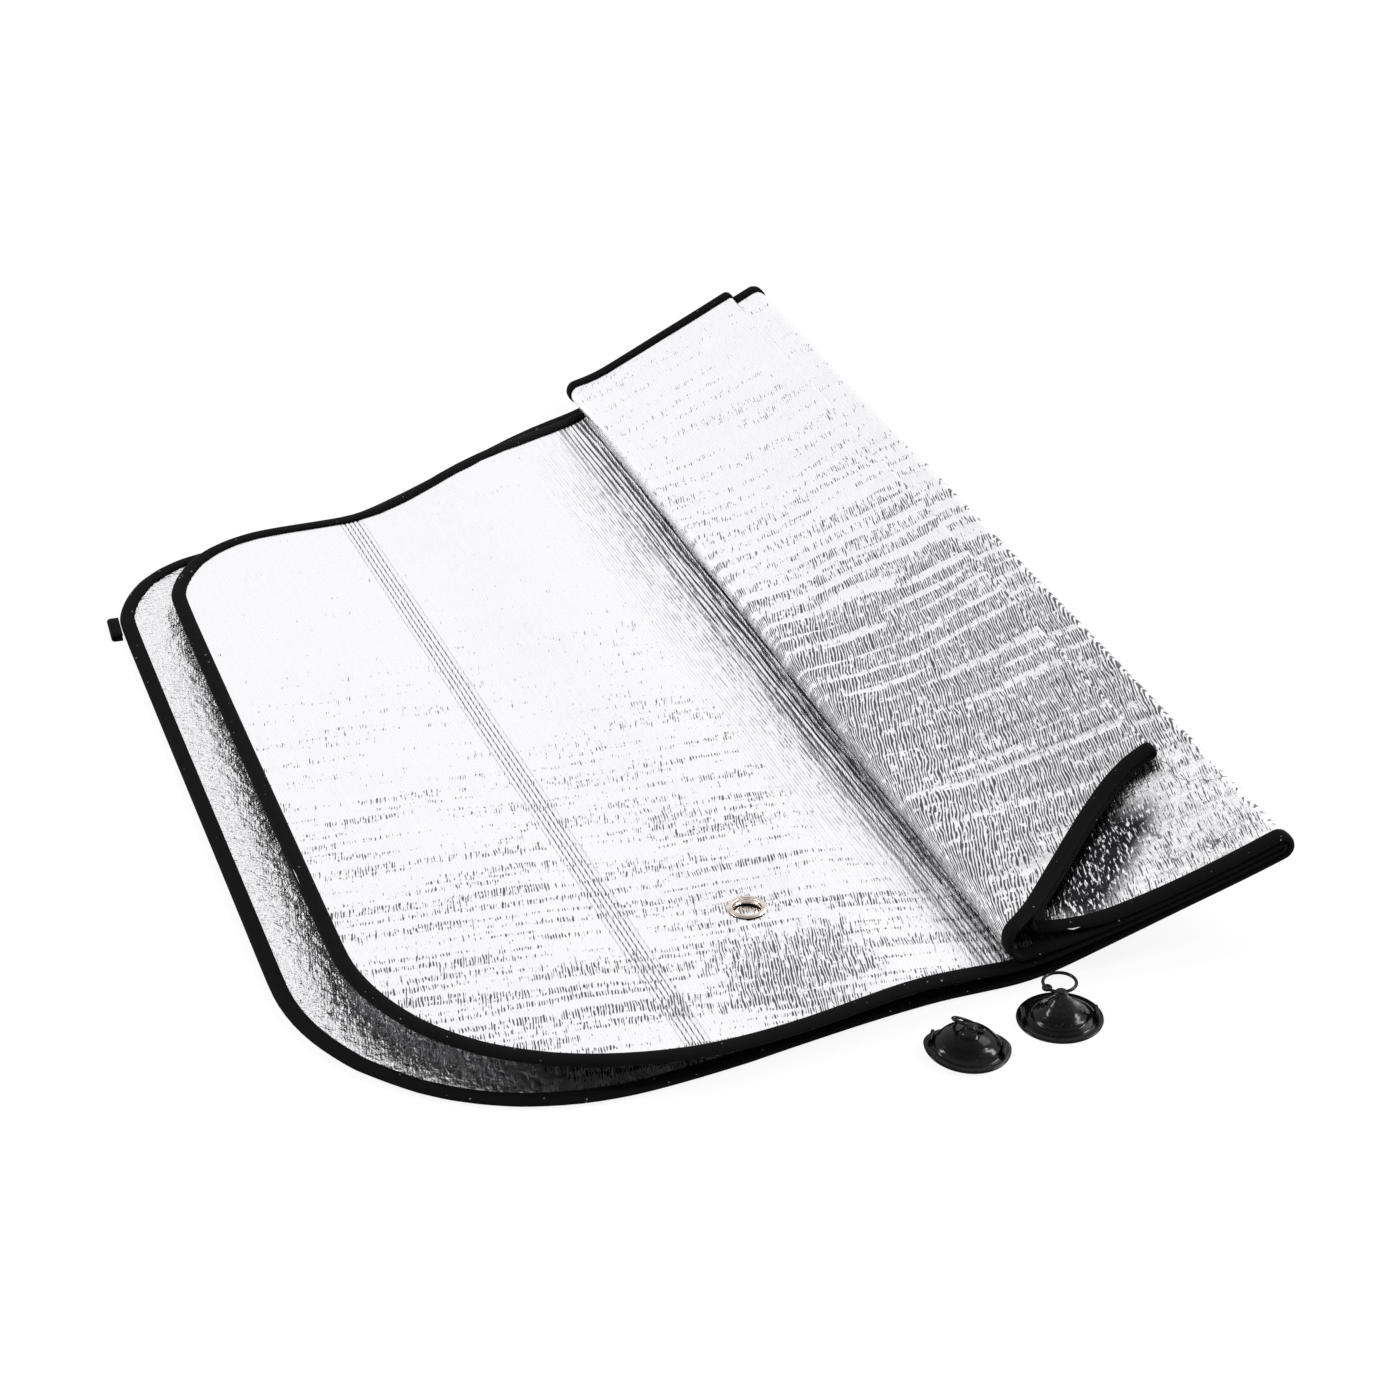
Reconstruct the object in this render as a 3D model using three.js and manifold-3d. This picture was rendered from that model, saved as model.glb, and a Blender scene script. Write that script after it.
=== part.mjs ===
// Folded windscreen sunshade: one quilted foil sheet with a sewn edge binding, two eyelets,
// an elastic closing loop and the two suction cups that press into the eyelets.
// Millimetres, +Z up. X runs across the fold lines, Y along them, the mirror notch at low Y.
import * as THREE from 'three';
import { mergeVertices, mergeGeometries } from 'three/addons/utils/BufferGeometryUtils.js';
import Module from 'manifold-3d';

const wasm = await Module();
wasm.setup();

// Sheet
const sheetThickness = 1.2;
const halfLength = 635;         // from the centre fold to either end of the sheet
const topPanel = 106;           // from the centre fold to the first fold
const stackPanel = 124;         // from the first fold to the second
const nestShift = 12.4;         // how far the lower half's inner fold is pushed into the stack

// Outline, seen flat: distance from the centre fold against Y
const nearEdge = -9;
const nearFall = 15;            // how far the near edge drops between the stack and the corner
const nearFallFrom = 370;       // and from where
const nearRadius = 118;
const farEdgeCentre = 561;
const farEdgeEnd = 477;
const farRadius = 66;
const farSlopeFrom = 305;       // where the far edge begins to slope to the end
const farSlopeTo = 530;
const endSlant = 16;            // how much farther out the end lies at its near corner
const notchDepth = 81;
const notchHalfWidth = 124;

// Folded stack
const layerPitch = 2.8;         // centre to centre, where the layers lie flat on each other
const firstFoldPuff = 1.3;      // extra pitch at the first fold, near end
const secondFoldPuff = 0.45;
const puffWidth = 42;
const bendStart = -8;           // where the bottom layer leaves the floor
const bendEnd = 30;             // and where it is straight again
const riseNear = 0.29;          // slope of the stack, in radians, at the near and the far end
const riseFar = 0.45;
const foldSkew = 10;            // how much nearer the second fold lies at the far end
const centreSkew = 5;
const firstSkew = 3;            // and how much farther in the first
const nearLift = 3.6;           // how far the upper layer rises outside the stack, near end
const nearLiftReach = 55;
const panelWave = 1;            // waves of the upper layer, near end, dying out to the far end
const waveLength = 120;
const waveCrest = -45;
const farArch = 6.7;            // arch of the upper layer between its creases, far end
const farArchWidth = 140;
const endLift = 3.5;            // and how far its end panel curls up, near end
const endLiftFar = 2;
const endLiftReach = 100;
const bottomGap = 2.6;          // extra space over the bottom layer, outside the second fold
const bottomGapFar = 1;
const sagMargin = 35;
const firstFoldPlace = 3;       // from the sheet's datum line to the first fold

// Pressed creases
const creaseSpacing = 2.3;
const creaseDepth = 0.35;       // thins the sheet from both sides
const innerCreaseLines = 6;
const outerCreaseLines = 4;
const creasePanel = 142;        // between the two pressed creases
const creaseMargin = 5;         // from the first fold to the inner crease

// Edge binding
const bindingWidth = 6.4;
const bindingTape = 0.35;
const fitGap = 0.3;

// Eyelets
const eyeletHole = 12.3;
const eyeletOuter = 17.4;
const eyeletWall = 0.45;
const eyeletLip = 0.6;
const eyeletFromCrease = 86;
const eyeletY = 71;

// Elastic loop at the end of the lower half
const loopWidth = 17;
const loopReach = 5.2;
const loopTape = 0.9;
const loopInside = 0.8;
const loopY = 418;

// Suction cups
const cupDiameter = 36.7;
const cupRim = 3.6;
const cupRimThickness = 1;
const cupHeight = 11.5;
const cupWall = 1.5;
const cupNeck = 5.5;
const cupStub = 2.8;
const cupRingOuter = 15.5;
const cupRingWire = 1.5;
const cupEyeOuter = 4.6;
const cupEyeHole = 1.9;
const cupLugLength = 8;
const cupLugHeight = 4.2;
const cupLugThickness = 1.6;
const rightCup = { x: 5, y: -37, turn: -0.35, tilt: 0, drop: 0, headTilt: 0, headRoll: 0 };
const leftCup = { x: -40, y: -43, turn: -0.56, tilt: 0.05, drop: 3.5, headTilt: -0.6, headRoll: 0.31 };

const foilMaterial = () => new THREE.MeshStandardMaterial({ color: 0xe4e5e8, roughness: 0.28, metalness: 0.9 });
const tapeMaterial = () => new THREE.MeshStandardMaterial({ color: 0x141416, roughness: 0.85, metalness: 0 });
const eyeletMaterial = () => new THREE.MeshStandardMaterial({ color: 0xd8cabd, roughness: 0.25, metalness: 1 });
const cupMaterial = () => new THREE.MeshStandardMaterial({ color: 0x0c0c0e, roughness: 0.15, metalness: 0 });

// Values that follow from the sizes above
const halfSheet = sheetThickness / 2;
const bindingInner = halfSheet + fitGap;
const bindingOuter = bindingInner + bindingTape;
const eyeletFace = halfSheet + fitGap + eyeletLip;
const floorToSheet = Math.max(bindingOuter, eyeletFace);
const firstFold = firstFoldPlace;
const secondFold = firstFold + stackPanel;
const centreFold = firstFold + topPanel;
const nearCornerS = halfLength - nearRadius;
const sheetDepth = farEdgeCentre - nearEdge;
const shareOf = (y) => THREE.MathUtils.clamp((y - nearEdge) / sheetDepth, 0, 1);

// Where the stack's bottom layer runs: flat, one bend, then a straight rise
function bottomLayer(u, y) {
  const share = shareOf(y);
  const rise = riseNear + (riseFar - riseNear) * share;
  const radius = (bendEnd - bendStart) / rise;
  const angle = rise * THREE.MathUtils.clamp((u - bendStart) / (bendEnd - bendStart), 0, 1);
  const beyond = Math.max(0, u - bendEnd);
  const x = Math.min(u, bendStart) + radius * Math.sin(angle) + beyond * Math.cos(angle);
  const z = floorToSheet + radius * (1 - Math.cos(angle)) + beyond * Math.sin(angle);
  return { x, z, angle };
}

// Pitch of the layers: wider where the folds spring open, most at the near end
function pitchAt(u, y) {
  const share = shareOf(y);
  const first = firstFoldPuff * (1 - share) * Math.exp(-(((u - firstFold) / puffWidth) ** 2));
  const second = secondFoldPuff * (1 - share) * Math.exp(-(((u - secondFold) / puffWidth) ** 2));
  return layerPitch + first + second;
}

// The upper layer rises and waves at the near end, arches at the far end and curls up at its outer end
function bowAt(u, y) {
  const share = shareOf(y);
  const wave = 0.5 + 0.5 * Math.cos((2 * Math.PI * (u - waveCrest)) / waveLength);
  const inArch = THREE.MathUtils.clamp((innerCreaseU - u) / farArchWidth, 0, 1);
  const arch = farArch * share * Math.sin(Math.PI * inArch) ** 2;
  const lift = endLift + (endLiftFar - endLift) * share;
  const outer = innerCreaseU - creasePanel + endLiftReach / 3;
  const rise = (nearLift + panelWave * wave) * smooth(-u / nearLiftReach);
  return (1 - share) * rise + arch + lift * smooth((outer - u) / endLiftReach);
}

// The bottom layer hangs away from the others, until the second fold holds them together
function sagAt(u, y) {
  const gap = bottomGap + (bottomGapFar - bottomGap) * shareOf(y);
  return gap * smooth((secondFold - sagMargin - u) / (secondFold - sagMargin - firstFold));
}

// Height above the bottom layer's middle, along its normal
function heightOf(layer, u, y) {
  const sag = layer > 0 ? sagAt(u, y) : 0;
  const bow = layer === 1 ? bowAt(u, y) : 0;
  return layer * pitchAt(u, y) + sag + bow;
}

// A point of a layer of the stack, `lift` off the layer's middle along its normal
function inStack(layer, u, y, lift) {
  const base = bottomLayer(u, y);
  const h = heightOf(layer, u, y) + lift;
  return new THREE.Vector3(base.x - h * Math.sin(base.angle), y, base.z + h * Math.cos(base.angle));
}

// A fold's half round between two layers, from its top (0) to its bottom (pi)
function inTurn(turn, angle, y, lift) {
  const u = turn.at(y);
  const base = bottomLayer(u, y);
  const pitch = pitchAt(u, y);
  const radius = turn.radius * pitch + turn.side * lift;
  const along = turn.way * radius * Math.sin(angle);
  const up = turn.centre * pitch + sagAt(u, y) + radius * Math.cos(angle);
  const c = Math.cos(base.angle);
  const s = Math.sin(base.angle);
  return new THREE.Vector3(base.x + along * c - up * s, y, base.z + along * s + up * c);
}

// Where each fold lies at a given Y
const centreAt = (y) => centreFold - centreSkew * shareOf(y);
const secondAt = (y) => secondFold - foldSkew * shareOf(y);
const firstAt = (y) => firstFold + firstSkew * shareOf(y);
const innerAt = (y) => firstAt(y) + nestShift;

// The path of each half from the centre fold to its end, as runs along a layer and turns
const centreTurn = { at: centreAt, centre: 4.5, radius: 0.5, way: 1, side: 1 };
const upperRuns = [
  { turn: centreTurn, from: Math.PI / 2, to: 0, steps: 4 },
  { layer: 5, from: centreAt, to: firstAt, side: 1, steps: 14 },
  { turn: { at: firstAt, centre: 3.5, radius: 1.5, way: -1, side: 1 }, from: 0, to: Math.PI, steps: 12 },
  { layer: 2, from: firstAt, to: secondAt, side: -1, steps: 8 },
  { turn: { at: secondAt, centre: 1.5, radius: 0.5, way: 1, side: -1 }, from: 0, to: Math.PI, steps: 8 },
  { layer: 1, from: secondAt, side: 1 },
];
const lowerRuns = [
  { turn: centreTurn, from: Math.PI / 2, to: Math.PI, steps: 4 },
  { layer: 4, from: centreAt, to: innerAt, side: -1, steps: 14 },
  { turn: { at: innerAt, centre: 3.5, radius: 0.5, way: -1, side: -1 }, from: 0, to: Math.PI, steps: 8 },
  { layer: 3, from: innerAt, to: secondAt, side: 1, steps: 8 },
  { turn: { at: secondAt, centre: 1.5, radius: 1.5, way: 1, side: 1 }, from: 0, to: Math.PI, steps: 12 },
  { layer: 0, from: secondAt, side: -1 },
];

// Flat length of each run, taken half way along the folds
function measureRuns(runs) {
  const y = nearEdge + sheetDepth / 2;
  let s = 0;
  for (const run of runs) {
    run.start = s;
    if (run.turn) {
      run.length = Math.abs(run.to - run.from) * run.turn.radius * pitchAt(run.turn.at(y), y);
    } else {
      run.length = run.to ? Math.abs(run.to(y) - run.from(y)) : halfLength - s;
    }
    s += run.length;
  }
  return runs[runs.length - 1];
}
const lastUpper = measureRuns(upperRuns);
const lastLower = measureRuns(lowerRuns);

// The inner pressed crease of the upper half lies just outside the first fold
const innerCreaseU = firstFold - 1.5 * layerPitch - creaseMargin;
const innerCreaseS = lastUpper.start + secondFold - foldSkew / 2 - innerCreaseU;
const outerCreaseS = innerCreaseS + creasePanel;

// From the second fold to the crease a layer takes up the fold's skew, then it runs straight
function lastRunU(run, s, y) {
  const past = s - run.start;
  const panel = innerCreaseS - run.start;
  const creaseU = secondFold - foldSkew / 2 - panel;
  if (past > panel) {
    return creaseU - (past - panel);
  }
  return run.from(y) + ((creaseU - run.from(y)) * past) / panel;
}

function onSheet(runs, s, y, lift) {
  const run = runs.find((r) => s <= r.start + r.length) ?? runs[runs.length - 1];
  const share = (s - run.start) / run.length;
  if (run.turn) {
    return inTurn(run.turn, run.from + (run.to - run.from) * share, y, lift);
  }
  const u = run.to ? run.from(y) + (run.to(y) - run.from(y)) * share : lastRunU(run, s, y);
  return inStack(run.layer, u, y, run.side * lift);
}

// Outline of the flat sheet
function smooth(t) {
  const k = THREE.MathUtils.clamp(t, 0, 1);
  return k * k * (3 - 2 * k);
}

function nearOutline(s) {
  const notch = notchDepth * smooth(1 - s / notchHalfWidth);
  const fall = nearFall * smooth((s - nearFallFrom) / (nearCornerS - nearFallFrom));
  const past = Math.max(0, s - nearCornerS);
  const corner = nearRadius - Math.sqrt(Math.max(0, nearRadius ** 2 - past ** 2));
  return nearEdge + notch - fall + corner;
}

const nearTangentY = nearEdge - nearFall + nearRadius;
const farTangentS = halfLength - endSlant;
const farCornerS = farTangentS - farRadius;
const farTangentY = farEdgeEnd - farRadius;

function farOutline(s) {
  if (s > farTangentS) {
    const share = (s - farTangentS) / endSlant;
    return farTangentY + (nearTangentY - farTangentY) * share;
  }
  const slope = smooth((s - farSlopeFrom) / (farSlopeTo - farSlopeFrom));
  const past = Math.max(0, s - farCornerS);
  const corner = farRadius - Math.sqrt(Math.max(0, farRadius ** 2 - past ** 2));
  return farEdgeCentre - (farEdgeCentre - farEdgeEnd) * slope - corner;
}

// Where the end edge lies at a given Y, on its straight or on the far corner
function endEdgeS(y) {
  if (y < farTangentY) {
    return farTangentS + (endSlant * (farTangentY - y)) / (farTangentY - nearTangentY);
  }
  return farCornerS + Math.sqrt(farRadius ** 2 - (y - farTangentY) ** 2);
}

// Depth of the pressed lines at a given distance from the centre fold
function creaseAt(s) {
  let depth = 0;
  for (const [centre, lines] of [[innerCreaseS, innerCreaseLines], [outerCreaseS, outerCreaseLines]]) {
    const from = centre - (lines * creaseSpacing) / 2;
    const t = (s - from) / creaseSpacing;
    if (t > 0 && t < lines) {
      depth = creaseDepth * (1 - Math.abs(2 * (t - Math.floor(t)) - 1));
    }
  }
  return depth;
}

// Stations along one half, closest together at folds, creases and corners
function stationsOf(runs) {
  const list = new Set();
  for (const run of runs) {
    const steps = run.steps ?? 0;
    for (let i = 0; i <= steps; i += 1) {
      if (steps) {
        list.add(run.start + (run.length * i) / steps);
      }
    }
  }
  const last = runs[runs.length - 1];
  const creaseStations = (centre, lines) => {
    for (let i = 0; i <= 2 * lines; i += 1) {
      list.add(centre + (i / 2 - lines / 2) * creaseSpacing);
    }
  };
  creaseStations(innerCreaseS, innerCreaseLines);
  creaseStations(outerCreaseS, outerCreaseLines);
  const bendFrom = last.start + secondFold - bendEnd;
  for (let i = 0; i <= 6; i += 1) {
    list.add(bendFrom + ((bendEnd - bendStart) * i) / 6);
  }
  for (let s = last.start + 20; s < bendFrom; s += 24) {
    list.add(s);
  }
  const panelFrom = innerCreaseS + innerCreaseLines * creaseSpacing;
  for (let s = panelFrom; s < nearCornerS; s += 16) {
    list.add(s);
  }
  for (let i = 1; i <= 12; i += 1) {
    list.add(nearCornerS + nearRadius * Math.sin((Math.PI / 2) * (i / 12.5)));
  }
  for (let i = 1; i <= 8; i += 1) {
    list.add(farCornerS + farRadius * Math.sin((Math.PI / 2) * (i / 8)));
  }
  for (const side of [-1, 0, 1]) {
    list.add(innerCreaseS + eyeletFromCrease + side * (eyeletOuter / 2 + 1));
  }
  const sorted = [...list].sort((a, b) => a - b);
  return sorted.filter((s, i) => i === 0 || s - sorted[i - 1] > 0.25);
}

const upperStations = stationsOf(upperRuns);
const lowerStations = stationsOf(lowerRuns);
const path = [
  ...upperStations.slice(1).reverse().map((s) => ({ runs: upperRuns, s })),
  ...lowerStations.map((s) => ({ runs: lowerRuns, s })),
];

// Closed mesh through rings of points, capped or joined end to end
function loft(rings, closed) {
  const positions = [];
  const index = [];
  const n = rings[0].length;
  rings.forEach((ring) => ring.forEach((p) => positions.push(p.x, p.y, p.z)));
  const spans = closed ? rings.length : rings.length - 1;
  for (let i = 0; i < spans; i += 1) {
    const a = i * n;
    const b = ((i + 1) % rings.length) * n;
    for (let j = 0; j < n; j += 1) {
      const k = (j + 1) % n;
      index.push(a + j, b + j, b + k, a + j, b + k, a + k);
    }
  }
  if (!closed) {
    const last = (rings.length - 1) * n;
    for (let j = 1; j < n - 1; j += 1) {
      index.push(0, j, j + 1);
      index.push(last, last + j + 1, last + j);
    }
  }
  const geometry = new THREE.BufferGeometry();
  geometry.setAttribute('position', new THREE.Float32BufferAttribute(positions, 3));
  geometry.setIndex(index);
  return outward(geometry);
}

// Turns a closed mesh so that its faces point out
function outward(geometry) {
  const p = geometry.attributes.position;
  const idx = geometry.index.array;
  const [a, b, c] = [new THREE.Vector3(), new THREE.Vector3(), new THREE.Vector3()];
  let volume = 0;
  for (let i = 0; i < idx.length; i += 3) {
    a.fromBufferAttribute(p, idx[i]);
    b.fromBufferAttribute(p, idx[i + 1]);
    c.fromBufferAttribute(p, idx[i + 2]);
    volume += a.dot(b.cross(c));
  }
  if (volume < 0) {
    for (let i = 0; i < idx.length; i += 3) {
      [idx[i], idx[i + 2]] = [idx[i + 2], idx[i]];
    }
  }
  return geometry;
}

function toSolid(geometry) {
  const plain = geometry.clone();
  plain.deleteAttribute('normal');
  plain.deleteAttribute('uv');
  const merged = mergeVertices(plain, 1e-3);
  return new wasm.Manifold(new wasm.Mesh({
    numProp: 3,
    vertProperties: new Float32Array(merged.attributes.position.array),
    triVerts: new Uint32Array(merged.index.array),
  }));
}

function toGeometry(solid) {
  const mesh = solid.getMesh();
  const geometry = new THREE.BufferGeometry();
  geometry.setAttribute('position', new THREE.BufferAttribute(new Float32Array(mesh.vertProperties), 3));
  geometry.setIndex(new THREE.BufferAttribute(new Uint32Array(mesh.triVerts), 1));
  return geometry;
}

// Stands a geometry made about +Z on the sheet, facing along its outer side
function seatOnSheet(geometry, runs, s, y) {
  const foot = onSheet(runs, s, y, 0);
  const normal = onSheet(runs, s, y, 1).sub(foot).normalize();
  const turn = new THREE.Quaternion().setFromUnitVectors(new THREE.Vector3(0, 0, 1), normal);
  geometry.applyQuaternion(turn);
  geometry.translate(foot.x, foot.y, foot.z);
  return geometry;
}

const eyeletPlaces = [
  { name: 'upper', runs: upperRuns, s: innerCreaseS + eyeletFromCrease },
  { name: 'lower', runs: lowerRuns, s: innerCreaseS + eyeletFromCrease },
];
const barrelRadius = eyeletHole / 2 + eyeletWall;

function foilSheet() {
  const rings = path.map(({ runs, s }) => {
    const half = halfSheet - creaseAt(s);
    const near = nearOutline(s);
    const far = farOutline(s);
    return [
      onSheet(runs, s, near, half),
      onSheet(runs, s, far, half),
      onSheet(runs, s, far, -half),
      onSheet(runs, s, near, -half),
    ];
  });
  let solid = toSolid(loft(rings, false));
  for (const place of eyeletPlaces) {
    const drill = new THREE.CylinderGeometry(barrelRadius + fitGap, barrelRadius + fitGap, 6, 40);
    drill.rotateX(Math.PI / 2);
    solid = solid.subtract(toSolid(seatOnSheet(drill, place.runs, place.s, eyeletY)));
  }
  return toGeometry(solid);
}

// The tape's section: two legs and a rounded nose, as distance in from the edge and height
const tapeNose = -(fitGap + bindingTape);
const tapeSection = [
  [bindingWidth, bindingOuter],
  [0.2, bindingOuter],
  [tapeNose, 0],
  [0.2, -bindingOuter],
  [bindingWidth, -bindingOuter],
  [bindingWidth, -bindingInner],
  [-fitGap, -bindingInner],
  [-fitGap, bindingInner],
  [bindingWidth, bindingInner],
];

function edgeBinding() {
  const near = path.map(({ runs, s }) => ({ runs, s, y: nearOutline(s), inward: 1 }));
  const far = path.map(({ runs, s }) => ({ runs, s, y: farOutline(s), inward: -1 })).reverse();
  const loop = [...near, ...far];
  const signed = (v) => (v.runs === upperRuns ? -v.s : v.s);
  const rings = loop.map((v, i) => {
    const before = loop[(i + loop.length - 1) % loop.length];
    const after = loop[(i + 1) % loop.length];
    const ds = signed(after) - signed(before);
    const dy = after.y - before.y;
    const length = Math.hypot(ds, dy);
    let inS = -dy / length;
    let inY = ds / length;
    if (v.s < nearCornerS) {
      inY = v.inward * Math.min(1 / Math.abs(inY), 2);
      inS = 0;
    }
    const outS = v.runs === upperRuns ? -inS : inS;
    return tapeSection.map(([w, h]) => onSheet(v.runs, v.s + w * outS, v.y + w * inY, h));
  });
  return loft(rings, true);
}

function lathe(points, segments) {
  const profile = points.map(([r, z]) => new THREE.Vector2(r, z));
  const geometry = new THREE.LatheGeometry(profile, segments);
  geometry.rotateX(Math.PI / 2);
  geometry.deleteAttribute('normal');
  geometry.deleteAttribute('uv');
  return outward(mergeVertices(geometry, 1e-3));
}

// Barrel with a flat-topped lip on the outer side, flared over its washer on the other
function eyeletBarrel(place) {
  const inner = eyeletHole / 2;
  const outer = eyeletOuter / 2;
  const seat = halfSheet + fitGap;
  const flare = -(seat + eyeletLip + 0.25);
  const points = [
    [inner, flare],
    [inner, seat + eyeletLip * 0.6],
    [inner + 0.5, seat + eyeletLip],
    [outer - 0.5, seat + eyeletLip],
    [outer, seat + eyeletLip * 0.4],
    [outer, seat],
    [inner + eyeletWall, seat],
    [inner + eyeletWall, flare + 0.35],
    [inner + eyeletWall + 0.7, flare + 0.3],
    [inner + eyeletWall + 0.7, flare],
  ];
  return seatOnSheet(lathe([...points, points[0]], 40), place.runs, place.s, eyeletY);
}

function eyeletWasher(place) {
  const inner = barrelRadius + fitGap;
  const outer = eyeletOuter / 2;
  const seat = -(halfSheet + fitGap);
  const points = [
    [inner, seat],
    [outer, seat],
    [outer, seat - eyeletLip * 0.3],
    [outer - 0.4, seat - eyeletLip * 0.5],
    [inner, seat - eyeletLip * 0.5],
  ];
  return seatOnSheet(lathe([...points, points[0]], 40), place.runs, place.s, eyeletY);
}

// A tape folded back on itself, butted against the binding at the end of the lower half
function elasticLoop() {
  const edges = [-1, 0, 1].map((side) => endEdgeS(loopY + (side * loopWidth) / 2));
  const edge = onSheet(lowerRuns, edges[1], loopY, 0);
  const root = edge.x + tapeNose - fitGap;
  const outerR = loopTape + loopInside / 2;
  const innerR = loopInside / 2;
  const shape = new THREE.Shape();
  shape.moveTo(0, outerR);
  shape.lineTo(-(loopReach - outerR), outerR);
  shape.absarc(-(loopReach - outerR), 0, outerR, Math.PI / 2, -Math.PI / 2, false);
  shape.lineTo(0, -outerR);
  shape.lineTo(0, -innerR);
  shape.lineTo(-(loopReach - outerR), -innerR);
  shape.absarc(-(loopReach - outerR), 0, innerR, -Math.PI / 2, Math.PI / 2, true);
  shape.lineTo(0, innerR);
  const geometry = new THREE.ExtrudeGeometry(shape, { depth: loopWidth, bevelEnabled: false, curveSegments: 10 });
  geometry.rotateX(Math.PI / 2);
  geometry.translate(0, loopWidth / 2, 0);
  geometry.rotateZ(-Math.atan2(edges[0] - edges[2], loopWidth));
  geometry.translate(root, loopY, outerR);
  return toGeometry(toSolid(geometry));
}

// One moulding: sucker, neck, head ring with its small eye, and two lugs on the rim
function suctionCup(place) {
  const R = cupDiameter / 2;
  const rimIn = R - cupRim;
  const neck = cupNeck / 2;
  const outside = [
    [R, 0.25],
    [R - 0.3, cupRimThickness],
    [rimIn + 0.6, cupRimThickness],
    [rimIn, cupRimThickness + 0.5],
    [rimIn - 1.4, cupRimThickness + 0.6],
    [rimIn * 0.72, cupHeight * 0.35],
    [rimIn * 0.5, cupHeight * 0.6],
    [neck + 1.6, cupHeight * 0.82],
    [neck, cupHeight],
    [neck, cupHeight + cupStub - 0.6],
    [neck - 0.6, cupHeight + cupStub],
    [0, cupHeight + cupStub],
  ];
  const inside = [
    [0, cupHeight * 0.82 - cupWall],
    [neck, cupHeight * 0.76 - cupWall],
    [rimIn * 0.46, cupHeight * 0.56 - cupWall],
    [rimIn * 0.7, cupHeight * 0.34 - cupWall * 0.8],
    [rimIn - 1.8, 0.35],
    [rimIn, 0],
    [R - 0.3, 0],
  ];
  const body = lathe([...inside, ...outside], 48);
  let solid = toSolid(body);

  // The head ring starts at the neck and carries a small eye
  const ringRadius = cupRingOuter / 2 - cupRingWire / 2;
  const ring = new THREE.TorusGeometry(ringRadius, cupRingWire / 2, 8, 36);
  ring.translate(0, ringRadius, 0);
  const eye = new THREE.CylinderGeometry(cupEyeOuter / 2, cupEyeOuter / 2, cupRingWire, 20);
  const eyeHole = new THREE.CylinderGeometry(cupEyeHole / 2, cupEyeHole / 2, cupRingWire * 3, 16);
  for (const piece of [eye, eyeHole]) {
    piece.rotateX(Math.PI / 2);
    piece.translate(-ringRadius * 0.8, ringRadius * 0.45, 0);
  }
  for (const piece of [ring, eye, eyeHole]) {
    piece.rotateX(place.headTilt);
    piece.rotateY(place.headRoll);
    piece.translate(0, 0, cupHeight + cupStub - cupRingWire / 2);
  }
  solid = solid.add(toSolid(ring)).add(toSolid(eye)).subtract(toSolid(eyeHole));

  for (const side of [-1, 1]) {
    const lug = new THREE.BoxGeometry(cupLugThickness, cupLugLength, cupLugHeight);
    lug.translate(side * (rimIn + 0.6), 0, cupRimThickness / 2 + cupLugHeight / 2 - 0.3);
    solid = solid.add(toSolid(lug));
  }

  const geometry = toGeometry(solid);
  pressDown(geometry, place.drop);
  geometry.rotateX(place.tilt);
  geometry.rotateZ(place.turn);
  geometry.computeBoundingBox();
  geometry.translate(place.x, place.y, -geometry.boundingBox.min.z);
  return geometry;
}

// Lowers the cone towards its neck, as on a cup that was packed flat
function pressDown(geometry, drop) {
  const p = geometry.attributes.position;
  for (let i = 0; i < p.count; i += 1) {
    const share = THREE.MathUtils.clamp((p.getZ(i) - cupRimThickness) / (cupHeight - cupRimThickness), 0, 1);
    p.setZ(i, p.getZ(i) - drop * share);
  }
  p.needsUpdate = true;
}


function addPart(group, name, geometry, material) {
  const mesh = new THREE.Mesh(geometry, material);
  mesh.name = name;
  group.add(mesh);
}

const shade = new THREE.Group();
addPart(shade, 'foil_sheet', foilSheet(), foilMaterial());
addPart(shade, 'edge_binding', edgeBinding(), tapeMaterial());
for (const place of eyeletPlaces) {
  addPart(shade, `${place.name}_eyelet`, eyeletBarrel(place), eyeletMaterial());
  addPart(shade, `${place.name}_eyelet_washer`, eyeletWasher(place), eyeletMaterial());
}
addPart(shade, 'elastic_loop', elasticLoop(), tapeMaterial());
addPart(shade, 'suction_cup_right', suctionCup(rightCup), cupMaterial());
addPart(shade, 'suction_cup_left', suctionCup(leftCup), cupMaterial());

// The origin is under the middle of the whole set
const box = new THREE.Box3().setFromObject(shade);
const middle = box.getCenter(new THREE.Vector3());
shade.position.set(-middle.x, -middle.y, -box.min.z);

const group = new THREE.Group();
group.add(shade);
export default group;
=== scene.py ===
import math

import bmesh
import bpy
import numpy as np
from mathutils import Matrix, Vector, noise


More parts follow.
